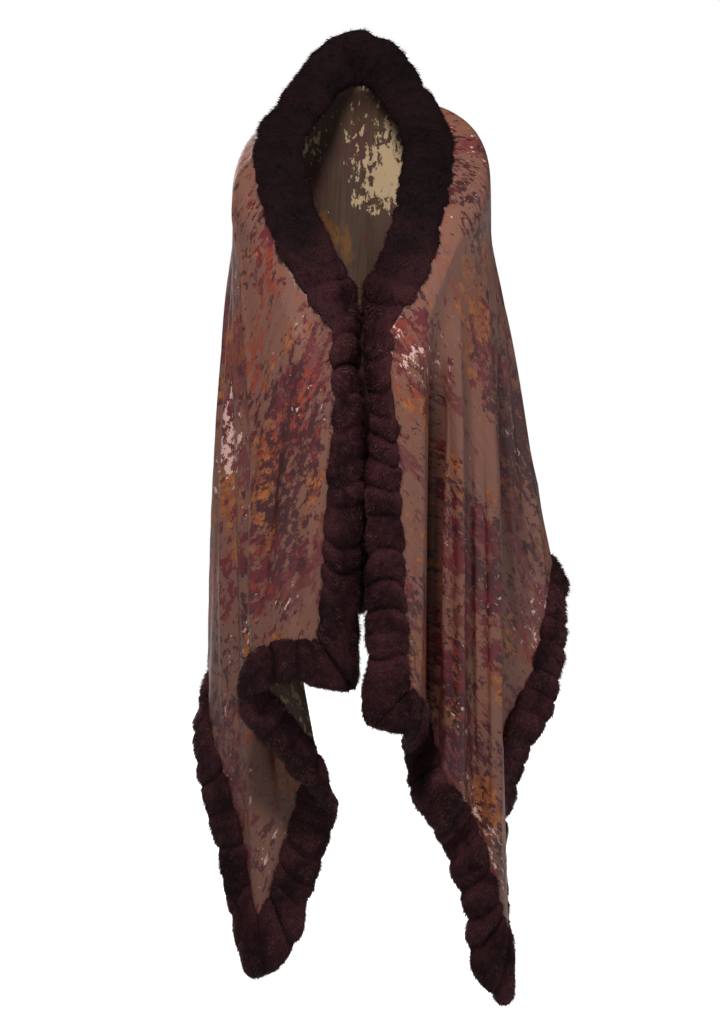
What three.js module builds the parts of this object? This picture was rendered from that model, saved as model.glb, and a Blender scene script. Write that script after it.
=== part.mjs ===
// An evening stole, worn: one rectangular panel of printed cloth, edged on all four sides
// with a strip of fur, open down the front and hanging in folds from neck and shoulders.
// Millimetres, +Z up, the wearer facing -Y, the wearer's right at -X.
// The origin is on the nape of the neck, at the inner face of the cloth.
import * as THREE from "three";

// Driving sizes
const CLOTH_WALL = 2;
const SEAM_GAP = 0.35;
const FUR_GAP = 0.5;
const FUR_WIDTH = 66;
const FUR_HALF_THICKNESS = 15;
const GROOVE_DEPTH = 0.36;
const SHOULDER_TILT = 0.06;
const LEVELS = { chest: -220, belowShoulder: 60, waist: -500 };

// How finely the cloth and the fur are faceted
const STEPS_DOWN = { collar: 3, shoulder: 5, body: 5, skirt: 10 };
const COLUMN_SPACING = 42;
const FUR_STEP = 21;
const FUR_SIDES = 8;
const FUR_SQUARENESS = 0.72;
const HEM_SMOOTHING = 2;
const END_FUR_DEPTH = 0.4;
const MITRE_LIMIT = 0.7;
const TIP_REACH = 97;
const TIP_ROUNDING = 60;
const TIP_TURN = 0.8;
const FLARE = { from: 225, over: 40, back: 0.55 };
const ROOM_IN_BEND = 0.5;
const NEIGHBOUR_STEPS = 1;
const NEIGHBOUR_ABREAST = 0.6;
const NEIGHBOUR_SHARE = 0.42;
const LEAST_ROOM = 4;
const FLATTEST_BEND = 0.001;
const NECK_SAMPLES = 20;

// The strips of fur, in order round the edge from the right front corner
const FUR_STRIPS = ["fur_neck_and_front", "fur_left_end", "fur_back_hem", "fur_right_end"];

// The middle line of the fur from the breast round to the nape, for the wearer's left side. The
// right side mirrors it, and skew moves both sides alike. lean is the way the fur lies in
// towards the neck and width its breadth that way. seat is how far round the fur the cloth joins
// it, in degrees: 0 at its outer edge, 90 under it and 180 at its inner edge. out is the point
// on the shoulder that the cloth runs over from there.
const NECKLINE = [
  { x: 26, y: -204, z: -298, skew: 2, lean: [-0.5, 0.86, 0.1], width: 64, seat: 0, out: [42, -237, -345] },
  { x: 43, y: -210, z: -252, skew: 0, lean: [-0.8, 0.5, 0.3], width: 66, seat: 0, out: [74, -233, -308] },
  { x: 71, y: -201, z: -184, skew: -3, lean: [-0.93, 0.2, 0.3], width: 70, seat: 0, out: [112, -217, -242] },
  { x: 91, y: -169, z: -115, skew: -6, lean: [-0.97, 0.1, 0.18], width: 72, seat: 0, out: [144, -184, -166] },
  { x: 100, y: -126, z: -54, skew: -9, lean: [-0.97, 0.05, 0.12], width: 70, seat: 0, out: [178, -132, -92] },
  { x: 96, y: -86, z: -14, skew: -7, lean: [-0.97, -0.05, -0.14], width: 68, seat: 25, out: [172, -74, -30] },
  { x: 78, y: -60, z: 18, skew: -4, lean: [-0.93, -0.1, -0.36], width: 66, seat: 60, out: [140, -34, 8] },
  { x: 57, y: -35, z: 48, skew: -4, lean: [-0.84, -0.1, -0.5], width: 66, seat: 100, out: [92, 2, 26] },
  { x: 34, y: -13, z: 78, skew: -3, lean: [-0.62, -0.1, -0.78], width: 74, seat: 150, out: [42, 22, 20] },
  { x: 0, y: 0, z: 95, skew: -3, lean: [0, -0.1, -0.99], width: 82, seat: 180, out: [0, 28, 12] },
];

// One row for each fold line, from the right front edge round the back to the left front edge.
// neck is its place along the neckline, 0 and 18 being the front ends and 9 the nape.
const FOLDS = [
  { name: "right front edge", neck: 0, chest: [-36, -235], waist: [-46, -230], hem: [-58, -212, -747] },
  { name: "right panel", neck: 1.95, chest: [-98, -228], waist: [-98, -230], hem: [-108, -210, -744] },
  { name: "right ridge", neck: 4.05, chest: [-170, -150], waist: [-149, -192], hem: [-156, -182, -768] },
  { name: "right valley", neck: 4.45, chest: [-176, -130], waist: [-136, -150], hem: [-62, -116, -915] },
  { name: "right end, upper", neck: 4.7, chest: [-179, -118], waist: [-150, -128], hem: [-86, -78, -968] },
  { name: "right tip", neck: 4.95, chest: [-183, -108], waist: [-168, -113], hem: [-147, -66, -1142] },
  { name: "right tip, outer", neck: 5.25, chest: [-187, -95], waist: [-184, -98], hem: [-168, -50, -1040] },
  { name: "right side", neck: 5.55, chest: [-190, -80], waist: [-198, -75], hem: [-192, -38, -955] },
  { name: "right side, outer", neck: 5.93, chest: [-192, -58], waist: [-207, -45], hem: [-219, -12, -862] },
  { name: "right back", neck: 6.6, chest: [-176, 0], waist: [-192, 35], hem: [-207, 52, -752] },
  { name: "back ridge 1", neck: 7.2, chest: [-146, 36], waist: [-160, 82], hem: [-166, 92, -702] },
  { name: "back valley 1", neck: 7.73, chest: [-104, 47], waist: [-114, 50], hem: [-118, 48, -676] },
  { name: "back ridge 2", neck: 8.25, chest: [-72, 52], waist: [-78, 96], hem: [-84, 116, -664] },
  { name: "back valley 2", neck: 8.77, chest: [-24, 54], waist: [-22, 60], hem: [-30, 46, -652] },
  { name: "back ridge 3", neck: 9.38, chest: [22, 54], waist: [30, 84], hem: [28, 98, -644] },
  { name: "back valley 3", neck: 9.9, chest: [66, 52], waist: [72, 40], hem: [78, 30, -640] },
  { name: "back ridge 4", neck: 10.5, chest: [108, 46], waist: [130, 96], hem: [142, 118, -636] },
  { name: "back valley 4", neck: 11.1, chest: [150, 24], waist: [184, 62], hem: [204, 66, -630] },
  { name: "left flare", neck: 11.7, chest: [205, -20], waist: [252, 40], hem: [276, 52, -622] },
  { name: "left flare, front", neck: 12, chest: [204, -40], waist: [246, 18], hem: [272, 18, -690] },
  { name: "left side", neck: 12.3, chest: [200, -58], waist: [228, -10], hem: [250, 0, -792] },
  { name: "left side valley", neck: 12.67, chest: [192, -78], waist: [188, -40], hem: [208, -30, -888] },
  { name: "left tip, outer", neck: 13.05, chest: [190, -92], waist: [194, -62], hem: [200, -56, -1030] },
  { name: "left tip", neck: 13.35, chest: [184, -112], waist: [195, -96], hem: [214, -98, -1178] },
  { name: "left end, lower", neck: 13.7, chest: [176, -132], waist: [184, -128], hem: [196, -126, -1090] },
  { name: "left end valley", neck: 14.1, chest: [162, -156], waist: [160, -132], hem: [163, -118, -1003] },
  { name: "left end ridge", neck: 14.6, chest: [146, -176], waist: [144, -172], hem: [146, -160, -970] },
  { name: "left end, inner", neck: 15, chest: [134, -192], waist: [125, -170], hem: [124, -154, -946] },
  { name: "left fold, outer", neck: 15.4, chest: [120, -204], waist: [114, -146], hem: [111, -124, -902] },
  { name: "left fold, inner", neck: 15.75, chest: [108, -214], waist: [101, -148], hem: [97, -130, -858] },
  { name: "left ridge", neck: 16.3, chest: [91, -226], waist: [91, -216], hem: [86, -200, -824] },
  { name: "left front edge", neck: 18, chest: [50, -235], waist: [57, -230], hem: [72, -214, -815] },
];

// The cloth is one rectangle. Each stretch that hangs by itself is a solid of its own.
const STRETCHES = [
  { name: "cloth_right_front", from: "right front edge", to: "right valley" },
  { name: "cloth_right_side", from: "right valley", to: "right back" },
  { name: "cloth_back", from: "right back", to: "back valley 4" },
  { name: "cloth_left_side", from: "back valley 4", to: "left tip" },
  { name: "cloth_left_front", from: "left tip", to: "left front edge" },
];

// The way the fur lies out from each front edge, at the chest, the waist and the hem
const FRONT_LEANS = {
  right: [[0.55, 0.83, 0], [0.7, 0.71, 0], [0.74, 0.67, 0]],
  left: [[-0.55, 0.83, 0], [-0.72, 0.69, 0], [-0.97, 0.24, 0]],
};

const STRAIGHT_DOWN = new THREE.Vector3(0, 0, -1);
const mix = THREE.MathUtils.lerp;
const evenlyThrough = (points) => new THREE.CatmullRomCurve3(points, false, "catmullrom", 0.5);
const smoothThrough = (points) => new THREE.CatmullRomCurve3(points, false, "centripetal");

// One column of the neckline table at a place from 0 to 18, as a point or a direction, mirrored
// past the nape.
function alongNeckline(place, pick) {
  const nape = NECKLINE.length - 1;
  const half = Math.min(place, 2 * nape - place);
  const value = evenlyThrough(NECKLINE.map(pick)).getPoint(half / nape);
  return place <= nape ? value.multiply(new THREE.Vector3(-1, 1, 1)) : value;
}

const PICK = {
  middle: (row) => new THREE.Vector3(row.x, row.y, row.z),
  skew: (row) => new THREE.Vector3(0, row.skew, 0),
  lean: (row) => new THREE.Vector3(...row.lean),
  width: (row) => new THREE.Vector3(0, row.width, 0),
  seat: (row) => new THREE.Vector3(0, row.seat, 0),
  out: (row) => new THREE.Vector3(...row.out),
};

const leanAt = (place) => alongNeckline(place, PICK.lean).normalize();
const widthAt = (place) => alongNeckline(place, PICK.width).y;
const seatAt = (place) => alongNeckline(place, PICK.seat).y;

// Where a unit of the fur's half breadth and half thickness puts the cloth's seat on its section.
function seatShares(seat) {
  const angle = THREE.MathUtils.degToRad(THREE.MathUtils.clamp(seat, 0, 180));
  return { across: -ovalShare(Math.cos(angle)), under: ovalShare(Math.sin(angle)) };
}

const ovalShare = (v) => Math.sign(v) * Math.abs(v) ** FUR_SQUARENESS;

// The edge of the cloth at a place along the neckline, just clear of the fur.
function seamPoint(place) {
  const last = 2 * (NECKLINE.length - 1);
  const before = alongNeckline(Math.max(place - 1 / NECK_SAMPLES, 0), PICK.middle);
  const along = alongNeckline(Math.min(place + 1 / NECK_SAMPLES, last), PICK.middle).sub(before);
  const under = along.cross(leanAt(place)).normalize();
  const share = seatShares(seatAt(place));
  return alongNeckline(place, PICK.middle)
    .add(new THREE.Vector3(alongNeckline(place, PICK.skew).y, 0, 0))
    .addScaledVector(leanAt(place), share.across * (widthAt(place) / 2 + FUR_GAP))
    .addScaledVector(under, share.under * (FUR_HALF_THICKNESS + FUR_GAP));
}

// The points that one fold line hangs through, from the neckline seam to the hem seam.
function foldPoints(fold) {
  const seam = seamPoint(fold.neck);
  const out = alongNeckline(fold.neck, PICK.out);
  out.z += SHOULDER_TILT * out.x;
  const chest = new THREE.Vector3(...fold.chest, Math.min(LEVELS.chest, out.z - LEVELS.belowShoulder));
  return [seam, out, chest, new THREE.Vector3(...fold.waist, LEVELS.waist), new THREE.Vector3(...fold.hem)];
}

// Places along a curve through control points, with so many steps between each two.
function placesBetween(steps) {
  const places = [0];
  steps.forEach((count, span) => {
    for (let step = 1; step <= count; step++) places.push((span + step / count) / steps.length);
  });
  return places;
}

// How many columns of facets lie between each fold line and the next.
function columnSteps() {
  const apart = (a, b) => Math.hypot(...a.map((v, axis) => v - b[axis]));
  return FOLDS.slice(1).map((fold, k) => {
    const gap = Math.max(apart(fold.hem, FOLDS[k].hem), apart(fold.chest, FOLDS[k].chest));
    return THREE.MathUtils.clamp(Math.round(gap / COLUMN_SPACING), 2, 4);
  });
}

// The column of the grid that runs down a named fold line.
function columnOf(name) {
  const fold = FOLDS.findIndex((row) => row.name === name);
  return columnSteps().slice(0, fold).reduce((sum, steps) => sum + steps, 0);
}

// The middle of the cloth as rows of points: grid[down][across].
function clothGrid() {
  const lines = FOLDS.map((fold) => smoothThrough(foldPoints(fold)));
  const down = placesBetween(Object.values(STEPS_DOWN));
  const across = placesBetween(columnSteps());
  return down.map((v) => {
    const section = smoothThrough(lines.map((line) => line.getPoint(v)));
    return across.map((u) => section.getPoint(u));
  });
}

// The cloth's outward normal at each point of the grid.
function clothNormals(grid) {
  const last = { row: grid.length - 1, column: grid[0].length - 1 };
  return grid.map((row, j) =>
    row.map((_, i) => {
      const across = row[Math.min(i + 1, last.column)].clone().sub(row[Math.max(i - 1, 0)]);
      const down = grid[Math.min(j + 1, last.row)][i].clone().sub(grid[Math.max(j - 1, 0)][i]);
      return across.cross(down).normalize();
    }),
  );
}

function meshFrom(name, points, faces, material) {
  const geometry = new THREE.BufferGeometry();
  const numbers = points.flatMap((p) => p.toArray());
  geometry.setAttribute("position", new THREE.Float32BufferAttribute(numbers, 3));
  geometry.setIndex(faces.flat());
  geometry.computeVertexNormals();
  const mesh = new THREE.Mesh(geometry, material);
  mesh.name = name;
  return mesh;
}

// The columns of the grid from one to another, each cut edge drawn in square to itself by half
// a seam's gap.
function stretchOf(grid, from, to) {
  const drawIn = (j, end, next) => {
    const [above, below] = [grid[Math.max(j - 1, 0)][end], grid[Math.min(j + 1, grid.length - 1)][end]];
    const along = below.clone().sub(above).normalize();
    const inward = grid[j][next].clone().sub(grid[j][end]);
    inward.addScaledVector(along, -inward.dot(along)).normalize();
    return grid[j][end].clone().addScaledVector(inward, SEAM_GAP / 2);
  };
  return grid.map((row, j) => {
    const part = row.slice(from, to + 1);
    if (from > 0) part[0] = drawIn(j, from, from + 1);
    if (to < row.length - 1) part[part.length - 1] = drawIn(j, to, to - 1);
    return part;
  });
}

// A wall of even thickness over rows of points: an outer face, an inner face and a rim.
function clothPanel(name, grid, normals, material) {
  const rows = grid.length;
  const columns = grid[0].length;
  const points = [];
  for (const side of [CLOTH_WALL / 2, -CLOTH_WALL / 2]) {
    grid.forEach((row, j) => {
      row.forEach((p, i) => points.push(p.clone().addScaledVector(normals[j][i], side)));
    });
  }
  const outer = (j, i) => j * columns + i;
  const inner = (j, i) => rows * columns + outer(j, i);
  const faces = [];
  for (let j = 0; j < rows - 1; j++) {
    for (let i = 0; i < columns - 1; i++) {
      faces.push([outer(j, i), outer(j, i + 1), outer(j + 1, i)]);
      faces.push([outer(j, i + 1), outer(j + 1, i + 1), outer(j + 1, i)]);
      faces.push([inner(j, i), inner(j + 1, i), inner(j, i + 1)]);
      faces.push([inner(j, i + 1), inner(j + 1, i), inner(j + 1, i + 1)]);
    }
  }
  const rim = [];
  for (let i = 0; i < columns - 1; i++) rim.push([0, i]);
  for (let j = 0; j < rows - 1; j++) rim.push([j, columns - 1]);
  for (let i = columns - 1; i > 0; i--) rim.push([rows - 1, i]);
  for (let j = rows - 1; j > 0; j--) rim.push([j, 0]);
  rim.forEach((here, k) => {
    const next = rim[(k + 1) % rim.length];
    const forward = outer(...here) < outer(...next);
    faces.push([outer(...here), forward ? inner(...next) : inner(...here), outer(...next)]);
    faces.push([forward ? outer(...here) : outer(...next), inner(...here), inner(...next)]);
  });
  return meshFrom(name, points, faces, material);
}

// Where each column of the cloth meets the neckline, from 0 to 18.
function neckPlaceOfColumns(topRow) {
  const last = 2 * (NECKLINE.length - 1);
  const samples = [];
  for (let step = 0; step <= last * NECK_SAMPLES; step++) {
    const place = step / NECK_SAMPLES;
    samples.push({ place, point: seamPoint(place) });
  }
  const nearest = (p) => samples.reduce((a, b) => (b.point.distanceTo(p) < a.point.distanceTo(p) ? b : a));
  return topRow.map((p) => nearest(p).place);
}

// The whole edge of the cloth as one loop of stations for the fur, from the right front corner
// up the front, round the neck, down to the left front corner and back along the hem.
function edgeLoop(grid, normals) {
  const bottom = grid.length - 1;
  const end = grid[0].length - 1;
  const neckPlaces = neckPlaceOfColumns(grid[0]);
  const down = placesBetween(Object.values(STEPS_DOWN));
  const frontLean = (side, j, place) => {
    const below = FRONT_LEANS[side].map((lean) => new THREE.Vector3(...lean));
    return evenlyThrough([leanAt(place), leanAt(place), ...below]).getPoint(down[j]).normalize();
  };
  const acrossHem = (i) => {
    const before = grid[bottom][Math.max(i - 1, 0)];
    const along = grid[bottom][Math.min(i + 1, end)].clone().sub(before).normalize();
    const fall = grid[bottom][i].clone().sub(grid[bottom - 2][i]);
    return fall.addScaledVector(along, -fall.dot(along)).normalize();
  };
  const hemLean = (i) => {
    const sum = new THREE.Vector3();
    for (let k = i - HEM_SMOOTHING; k <= i + HEM_SMOOTHING; k++) {
      sum.add(acrossHem(THREE.MathUtils.clamp(k, 0, end)));
    }
    if (i < columnOf("right tip") || i > columnOf("left tip")) sum.y *= END_FUR_DEPTH;
    const flare = THREE.MathUtils.clamp((grid[bottom][i].x - FLARE.from) / FLARE.over, 0, 1);
    sum.normalize().y += flare * FLARE.back;
    return sum.normalize();
  };
  const loop = [];
  const add = (j, i, away, width, seat = 0) => {
    loop.push({ point: grid[j][i], face: normals[j][i], away, width, seat });
  };
  for (let j = bottom; j > 0; j--) add(j, 0, frontLean("right", j, 0), FUR_WIDTH);
  for (let i = 0; i <= end; i++) {
    add(0, i, leanAt(neckPlaces[i]), widthAt(neckPlaces[i]), seatAt(neckPlaces[i]));
  }
  const leftFront = 2 * (NECKLINE.length - 1);
  for (let j = 1; j <= bottom; j++) add(j, end, frontLean("left", j, leftFront), FUR_WIDTH);
  for (let i = end - 1; i > 0; i--) add(bottom, i, hemLean(i), FUR_WIDTH);
  const leftCorner = 2 * bottom + end;
  const tips = ["left tip", "right tip"].map((name) => leftCorner + end - columnOf(name));
  const corners = [0, leftCorner, ...tips];
  [0, leftCorner].forEach((k) => mitre(loop, k));
  tips.forEach((k) => Object.assign(loop[k], { away: STRAIGHT_DOWN.clone(), width: TIP_REACH }));
  corners.forEach((k) => (loop[k].corner = true));
  return { loop, corners };
}

// Turns the fur at a corner of the loop to the diagonal between its two edges.
function mitre(loop, corner) {
  const before = loop[(corner + loop.length - 1) % loop.length].away;
  const after = loop[(corner + 1) % loop.length].away;
  const away = before.clone().add(after).normalize();
  loop[corner].width /= Math.max(MITRE_LIMIT, away.dot(after));
  loop[corner].away = away;
}

// The same loop with its stations at most FUR_STEP apart, and each one's normal and its room
// for fur on either side, which is less inside a tight bend.
function denseLoop(edge) {
  const stations = [];
  edge.loop.forEach((a, k) => {
    const b = edge.loop[(k + 1) % edge.loop.length];
    const steps = Math.max(1, Math.round(a.point.distanceTo(b.point) / FUR_STEP));
    for (let step = 0; step < steps; step++) {
      const share = step / steps;
      stations.push({
        point: a.point.clone().lerp(b.point, share),
        away: a.away.clone().lerp(b.away, share).normalize(),
        face: a.face.clone().lerp(b.face, share),
        width: mix(a.width, b.width, share),
        seat: mix(a.seat, b.seat, share),
        corner: step === 0 && a.corner,
      });
    }
  });
  roundTips(stations);
  const near = (k) => stations[(k + stations.length) % stations.length].point;
  stations.forEach((station, k) => {
    const back = near(k).clone().sub(near(k - 1));
    const ahead = near(k + 1).clone().sub(near(k));
    const span = (back.length() + ahead.length()) / 2;
    station.along = back.clone().normalize().add(ahead.clone().normalize()).normalize();
    station.normal = station.along.clone().cross(station.away).normalize();
    const turn = ahead.clone().normalize().sub(back.clone().normalize()).dot(station.normal) / span;
    const room = (bend) => Math.min(FUR_HALF_THICKNESS, ROOM_IN_BEND / Math.max(bend, FLATTEST_BEND));
    station.room = { outer: room(turn), inner: room(-turn) };
    const steepness = [back, ahead].map((side) => Math.abs(station.away.dot(side)) / side.length());
    const slant = Math.sqrt(1 - Math.max(...steepness) ** 2);
    const share = seatShares(station.seat);
    const flank = station.away.clone().multiplyScalar(share.across / (station.width / 2));
    flank.addScaledVector(station.normal, share.under / station.room.outer).normalize();
    const gap = (FUR_GAP + (CLOTH_WALL / 2) * Math.abs(flank.dot(station.face))) / slant;
    station.middle = station.point
      .clone()
      .addScaledVector(flank, -gap)
      .addScaledVector(station.away, (-share.across * station.width) / 2)
      .addScaledVector(station.normal, -share.under * station.room.outer);
  });
  for (const [k, station] of stations.entries()) {
    stations.forEach((other, m) => clearNeighbour(station, other, m - k, stations.length));
  }
  return stations;
}

// Turns the fur near the two hanging corners downwards and lets it run on to its own outer edge
// or to a level cut below the corner, so that both corners are blunt.
function roundTips(stations) {
  const tips = stations.filter(({ width }) => width === TIP_REACH).map(({ point }) => point);
  stations.forEach((station, k) => {
    const far = tips.map((tip) => tip.distanceTo(station.point));
    const tip = tips[far.indexOf(Math.min(...far))];
    const share = 1 - Math.min(...far) / TIP_ROUNDING;
    if (share <= 0 || share === 1) return;
    const edge = stations[k + 1].point.clone().sub(stations[k - 1].point).normalize();
    station.away.lerp(STRAIGHT_DOWN, share ** TIP_TURN).normalize();
    const toCut = (TIP_REACH + station.point.z - tip.z) / Math.max(-station.away.z, MITRE_LIMIT / 2);
    station.width = Math.min(toCut, station.width / station.away.clone().cross(edge).length());
  });
}

// Thins the fur where another stretch of the edge hangs close on one side of it.
function clearNeighbour(station, other, apart, count) {
  const steps = Math.min(Math.abs(apart), count - Math.abs(apart));
  const between = other.middle.clone().sub(station.middle);
  if (steps <= NEIGHBOUR_STEPS || between.length() > FUR_WIDTH) return;
  const sideways = between.dot(station.normal);
  if (Math.abs(sideways) < NEIGHBOUR_ABREAST * between.length()) return;
  const side = sideways > 0 ? "outer" : "inner";
  const room = Math.max(LEAST_ROOM, Math.abs(sideways) * NEIGHBOUR_SHARE);
  station.room[side] = Math.min(station.room[side], room);
}

// A closed strip of fur over a run of stations, oval in section and pinched where its pelts join.
function furStrip(name, stations, material) {
  const points = [];
  const faces = [];
  stations.forEach((station, k) => {
    const swell = k % 2 === 0 ? 1 - GROOVE_DEPTH : 1;
    const drawnIn = k === 0 ? SEAM_GAP / 2 : k === stations.length - 1 ? -SEAM_GAP / 2 : 0;
    for (let side = 0; side < FUR_SIDES; side++) {
      const angle = (side / FUR_SIDES) * 2 * Math.PI;
      const room = Math.sin(angle) > 0 ? station.room.outer : station.room.inner;
      points.push(
        station.middle
          .clone()
          .addScaledVector(station.away, (-station.width / 2) * ovalShare(Math.cos(angle)))
          .addScaledVector(station.normal, room * swell * ovalShare(Math.sin(angle)))
          .addScaledVector(station.along, drawnIn),
      );
    }
  });
  const at = (k, side) => k * FUR_SIDES + (side % FUR_SIDES);
  for (let k = 0; k < stations.length - 1; k++) {
    for (let side = 0; side < FUR_SIDES; side++) {
      faces.push([at(k, side), at(k + 1, side), at(k, side + 1)]);
      faces.push([at(k, side + 1), at(k + 1, side), at(k + 1, side + 1)]);
    }
  }
  const last = stations.length - 1;
  for (let side = 1; side < FUR_SIDES - 1; side++) {
    faces.push([at(0, 0), at(0, side), at(0, side + 1)]);
    faces.push([at(last, 0), at(last, side + 1), at(last, side)]);
  }
  return meshFrom(name, points, faces, material);
}

const cloth = new THREE.MeshStandardMaterial({ color: 0x6b4a44, roughness: 0.75, metalness: 0 });
const fur = new THREE.MeshStandardMaterial({ color: 0x2d1920, roughness: 0.95, metalness: 0 });
const grid = clothGrid();
const normals = clothNormals(grid);
const stole = new THREE.Group();
for (const { name, from, to } of STRETCHES) {
  const [first, last] = [columnOf(from), columnOf(to)];
  const face = normals.map((row) => row.slice(first, last + 1));
  stole.add(clothPanel(name, stretchOf(grid, first, last), face, cloth));
}
const stations = denseLoop(edgeLoop(grid, normals));
const cornersAt = stations.flatMap((station, k) => (station.corner ? [k] : []));
FUR_STRIPS.forEach((name, k) => {
  const last = k + 1 < cornersAt.length ? cornersAt[k + 1] : stations.length;
  const run = [...stations, stations[0]].slice(cornersAt[k], last + 1);
  stole.add(furStrip(name, run, fur));
});
export default stole;
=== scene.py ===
"""An evening stole as worn: a rectangle of printed cloth edged all round with fur.

Metres, +Z up, the wearer facing -Y, the wearer's right at -X, the origin on the nape. The tables
are in millimetres, as a dressmaker's are.
"""

import math
from collections import namedtuple

import bmesh
import bpy
import numpy as np
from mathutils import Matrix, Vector, noise

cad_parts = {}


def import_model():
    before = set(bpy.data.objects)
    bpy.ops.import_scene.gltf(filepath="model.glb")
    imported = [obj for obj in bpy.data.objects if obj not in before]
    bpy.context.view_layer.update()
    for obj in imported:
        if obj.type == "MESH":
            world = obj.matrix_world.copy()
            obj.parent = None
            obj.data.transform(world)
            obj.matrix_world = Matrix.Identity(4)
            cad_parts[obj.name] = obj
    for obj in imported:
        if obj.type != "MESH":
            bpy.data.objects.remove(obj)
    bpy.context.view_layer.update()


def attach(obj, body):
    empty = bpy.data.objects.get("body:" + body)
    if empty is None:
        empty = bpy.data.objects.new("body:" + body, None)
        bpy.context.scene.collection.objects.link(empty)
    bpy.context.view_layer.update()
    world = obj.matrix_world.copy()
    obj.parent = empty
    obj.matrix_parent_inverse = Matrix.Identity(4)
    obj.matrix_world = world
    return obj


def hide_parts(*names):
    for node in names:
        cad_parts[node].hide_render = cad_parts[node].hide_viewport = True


MM = 0.001
SEED = 11
HAIR = 1e-6
NOTHING = 1e-12

# Sizes of the cloth and the fur, in millimetres
CLOTH_THICKNESS = 1.2
CLOTH_WALL = 2
FUR_GAP = 0.5
FUR_WIDTH = 66
FRONT_FUR_WIDTHS = {"right": (90, 76), "left": (80, 69)}
FUR_HALF_THICKNESS = 15
SHOULDER_TILT = 0.06
CHEST, BELOW_SHOULDER, WAIST = -220, 60, -500

# How finely the cloth is laid out, down its length and across its folds. The coarse layout is the
# one that the fur's places are worked out from.
Columns = namedtuple("Columns", "spacing least most")
COARSE_STEPS_DOWN = (3, 5, 5, 10)
FINE_STEPS_DOWN = (9, 22, 30, 50)
COARSE_COLUMNS = Columns(42, 2, 4)
FINE_COLUMNS = Columns(6.2, 5, 18)
NECK_SAMPLES = 20
MIDDLE_FOLD = "back valley 2"

# How the fur is laid along the edge of the cloth
FUR_STEP = 21
FUR_SQUARENESS = 0.72
FRONT_FUR_NARROWS = (0, 0.45)
HEM_SMOOTHING = 2
END_FUR_DEPTH = 0.4
MITRE_LIMIT = 0.7
TIP_REACH = 97
TIP_LEANS = (0.02, 0.16)
TIP_ROUNDING = 60
TIP_TURN = 0.8
FLARE_FROM, FLARE_OVER, FLARE_BACK = 225, 40, 0.55
ROOM_IN_BEND = 0.5
NEIGHBOUR_STEPS = 1
NEIGHBOUR_ABREAST = 0.6
NEIGHBOUR_SHARE = 0.42
LEAST_ROOM = 4
FLATTEST_BEND = 0.001

# The form of a crease: how far its line bows, how fast it fades at its ends, how square its
# section is, and how far it stays from the edge of the cloth
CREASE_BOW = 0.12
CREASE_FADE = 0.7
CREASE_SQUARENESS = 1.6
CREASE_FREE_EDGE = 35
TUCK = 9

# The fur strips, their sections, and the grooves where one pelt joins the next
FUR_STRIPS = ("fur_neck_and_front", "fur_left_end", "fur_back_hem", "fur_right_end")
FINE_PER_STATION = 5
FINE_SIDES = 22
PILE_ALLOWANCE = 3
LEAST_HALF_THICKNESS = 2.5
OVER_CLOTH = 4.5
PELT_LENGTH = (28, 56)
PELT_SQUARENESS, PELT_ROUNDNESS = 3.4, 0.8
GROOVE_DEPTHS = (0.25, 0.8)
GROOVE_SLANT = (1, 6)
SLANT_LENGTH = (40, 90)
SCALLOP = 0.24
NECK_HEIGHTS = (-330, -150)
NECK_GROOVES = 0.6
SWELL = 4.5
SWELL_LENGTH = 34

# The pile: short tapered tufts, how many, how large, which way they lie, how light they are and how
# much painted shade darkens them in the grooves
TUFTS_PER_STATION = 520
MOST_TUFTS = 49000
TUFT_SIDES = 3
TUFT_LENGTH = (3.6, 6.6)
TUFT_WIDTH = (0.9, 1.7)
GROOVE_LENGTH = 0.4
LIES_OUT, LIES_ASTRAY, LIES_DOWN, LIES_BRUSHED = 0.5, 0.2, 0.6, 0.65
CLUMP_SCALE = 55
BRUSHED_SCALES = (28, 105)
BRUSHED_SHARES = (1.3, 1.1)
MIDDLE_TONE, LEAST_TONE = 0.38, 0.03
TONE_SPREAD = (0.5, 1)
GROOVE_SHADE = 1.5

# The print. A row is where a pattern starts, its patches and rags to the metre, the level above
# which it shows, how soft and how ragged its edge is, and how strongly it covers.
Splash = namedtuple("Splash", "start patches rags level soft ragged strength")
FACE_SPLASHES = {
    "ochre": Splash((1.21, 0.63), 13, 70, 0.535, 0.05, 0.36, 0.68),
    "stain": Splash((0.31, 1.4), 10, 70, 0.555, 0.03, 0.4, 0.7),
    "wine": Splash((0.37, 0.11), 9, 85, 0.525, 0.008, 0.54, 0.92),
    "rust": Splash((1.7, 0.2), 12, 100, 0.57, 0.03, 0.5, 0.75),
    "fleck": Splash((0.7, 0.2), 8, 120, 0.555, 0.006, 0.55, 0.9),
    "scraped": Splash((1.1, 2.3), 13, 130, 0.56, 0.01, 0.6, 0.6),
    "pink": Splash((2.4, 1.7), 9, 120, 0.61, 0.006, 0.5, 0.95),
    "specks": Splash((3.4, 0.7), 24, 230, 0.655, 0.01, 0.7, 1),
}
DARK_IN_WINE = Splash((0.9, 0.4), 20, 90, 0.5, 0.03, 0.4, 1)
BACK_SPLASHES = {
    "ochre": Splash((1.21, 0.63), 13, 60, 0.52, 0.06, 0.3, 0.75),
    "mauve": Splash((0.37, 0.11), 15, 105, 0.545, 0.03, 0.5, 0.7),
}
CREAM_SPLASH = Splash((2.4, 1.7), 12, 120, 0.52, 0.006, 0.5, 1)
SPLASH_LENGTHWAYS = 0.45

# How far below the nape the wrong side goes bare of cream, and where the cream comes back
BARE_FROM, BARE_TO = (0.17, 0.25), (0.5, 0.62)
BARE_LEVEL = 0.2
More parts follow.
